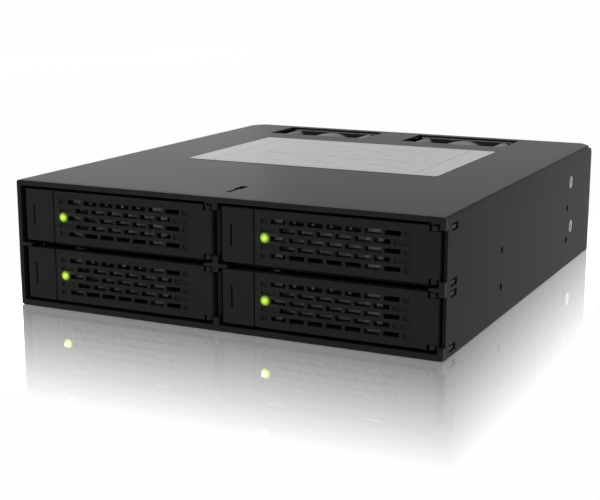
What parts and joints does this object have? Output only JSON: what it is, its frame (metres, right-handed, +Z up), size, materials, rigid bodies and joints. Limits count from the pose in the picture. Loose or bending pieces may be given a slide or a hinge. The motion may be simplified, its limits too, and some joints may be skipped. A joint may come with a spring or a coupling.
{
  "type": "hot swap drive cage",
  "caption": "Half-height bay cage with lever-locked sliding trays for 2.5 inch drives, vented front doors and rear fans.",
  "frame": {"origin": "middle of the underside", "axes": "+X to the right seen from the front, +Y to the rear, +Z up"},
  "size_m": [0.146, 0.1654, 0.0414],
  "materials": {
    "black_sheet": "black powder coat on steel sheet",
    "black_abs": "fine matt moulded ABS",
    "bare_sheet": "zinc plated sheet steel",
    "tray_black": "black coated sheet steel",
    "spring_steel": "spring steel",
    "screw_steel": "zinc plated",
    "circuit_board": "solder masked glass epoxy",
    "connector_black": "moulded nylon",
    "fan_plastic": "glass filled PBT",
    "lit_lens": "clear acrylic, lit green",
    "label_film": "silver grey polyester film",
    "indicator": "clear epoxy"
  },
  "bodies": {
    "cage": {"outer_shell": "black_sheet", "bottom_plate": "black_sheet", "front_bezel": "black_abs", "center_wall": "bare_sheet", "shelf_left": "bare_sheet", "shelf_right": "bare_sheet", "backplane_board": "circuit_board", "drive_connectors": "connector_black", "bay_leds": "indicator", "sata_ports": "connector_black", "power_ports": "connector_black", "rear_panel": "black_sheet", "board_standoffs": "screw_steel", "board_screws": "screw_steel", "case_rivets": "screw_steel", "top_label": "label_film", "speed_switch_body": "connector_black", "fan_screws": "screw_steel", "fan_housing_left": "fan_plastic", "fan_housing_right": "fan_plastic"},
    "tray_1": {"tray_frame_1": "tray_black", "tray_screen_1": "bare_sheet", "hinge_pin_1": "screw_steel", "lever_spring_1": "spring_steel", "button_spring_1": "spring_steel", "light_pipe_1": "lit_lens"},
    "lever_1": {"lever_door_1": "black_abs"},
    "button_1": {"release_button_1": "black_abs"},
    "tray_2": {"tray_frame_2": "tray_black", "tray_screen_2": "bare_sheet", "hinge_pin_2": "screw_steel", "lever_spring_2": "spring_steel", "button_spring_2": "spring_steel", "light_pipe_2": "lit_lens"},
    "lever_2": {"lever_door_2": "black_abs"},
    "button_2": {"release_button_2": "black_abs"},
    "tray_3": {"tray_frame_3": "tray_black", "tray_screen_3": "bare_sheet", "hinge_pin_3": "screw_steel", "lever_spring_3": "spring_steel", "button_spring_3": "spring_steel", "light_pipe_3": "lit_lens"},
    "lever_3": {"lever_door_3": "black_abs"},
    "button_3": {"release_button_3": "black_abs"},
    "tray_4": {"tray_frame_4": "tray_black", "tray_screen_4": "bare_sheet", "hinge_pin_4": "screw_steel", "lever_spring_4": "spring_steel", "button_spring_4": "spring_steel", "light_pipe_4": "lit_lens"},
    "lever_4": {"lever_door_4": "black_abs"},
    "button_4": {"release_button_4": "black_abs"},
    "rotor_left": {"fan_rotor_left": "fan_plastic"},
    "rotor_right": {"fan_rotor_right": "fan_plastic"},
    "speed_knob": {"speed_switch_knob": "connector_black"}
  },
  "joints": [
    {"name": "tray_1_slide", "type": "slide", "parent": "cage", "child": "tray_1", "axis": [0, -1, 0], "range_m": [0, 0.13]},
    {"name": "lever_1_hinge", "type": "hinge", "parent": "tray_1", "child": "lever_1", "pos_m": [-0.0026, -0.0814, 0.03035], "axis": [0, 0, 1], "range_deg": [0, 90]},
    {"name": "button_1_slide", "type": "slide", "parent": "tray_1", "child": "button_1", "axis": [-1, 0, 0], "range_m": [0, 0.0012], "stiffness_N_per_m": 400, "deforming": ["button_spring_1"]},
    {"name": "tray_2_slide", "type": "slide", "parent": "cage", "child": "tray_2", "axis": [0, -1, 0], "range_m": [0, 0.13]},
    {"name": "lever_2_hinge", "type": "hinge", "parent": "tray_2", "child": "lever_2", "pos_m": [0.0695, -0.0814, 0.03035], "axis": [0, 0, 1], "range_deg": [0, 90]},
    {"name": "button_2_slide", "type": "slide", "parent": "tray_2", "child": "button_2", "axis": [-1, 0, 0], "range_m": [0, 0.0012], "stiffness_N_per_m": 400, "deforming": ["button_spring_2"]},
    {"name": "tray_3_slide", "type": "slide", "parent": "cage", "child": "tray_3", "axis": [0, -1, 0], "range_m": [0, 0.13]},
    {"name": "lever_3_hinge", "type": "hinge", "parent": "tray_3", "child": "lever_3", "pos_m": [-0.0026, -0.0814, 0.0113], "axis": [0, 0, 1], "range_deg": [0, 90]},
    {"name": "button_3_slide", "type": "slide", "parent": "tray_3", "child": "button_3", "axis": [-1, 0, 0], "range_m": [0, 0.0012], "stiffness_N_per_m": 400, "deforming": ["button_spring_3"]},
    {"name": "tray_4_slide", "type": "slide", "parent": "cage", "child": "tray_4", "axis": [0, -1, 0], "range_m": [0, 0.13]},
    {"name": "lever_4_hinge", "type": "hinge", "parent": "tray_4", "child": "lever_4", "pos_m": [0.0695, -0.0814, 0.0113], "axis": [0, 0, 1], "range_deg": [0, 90]},
    {"name": "button_4_slide", "type": "slide", "parent": "tray_4", "child": "button_4", "axis": [-1, 0, 0], "range_m": [0, 0.0012], "stiffness_N_per_m": 400, "deforming": ["button_spring_4"]},
    {"name": "rotor_left_spin", "type": "hinge", "parent": "cage", "child": "rotor_left", "pos_m": [-0.0329, 0.0685, 0.02065], "axis": [0, 1, 0], "continuous": true},
    {"name": "rotor_right_spin", "type": "hinge", "parent": "cage", "child": "rotor_right", "pos_m": [0.02445, 0.0685, 0.02065], "axis": [0, 1, 0], "continuous": true},
    {"name": "speed_knob_slide", "type": "slide", "parent": "cage", "child": "speed_knob", "axis": [0, 0, 1], "range_m": [-0.0024, 0.0024]}
  ]
}
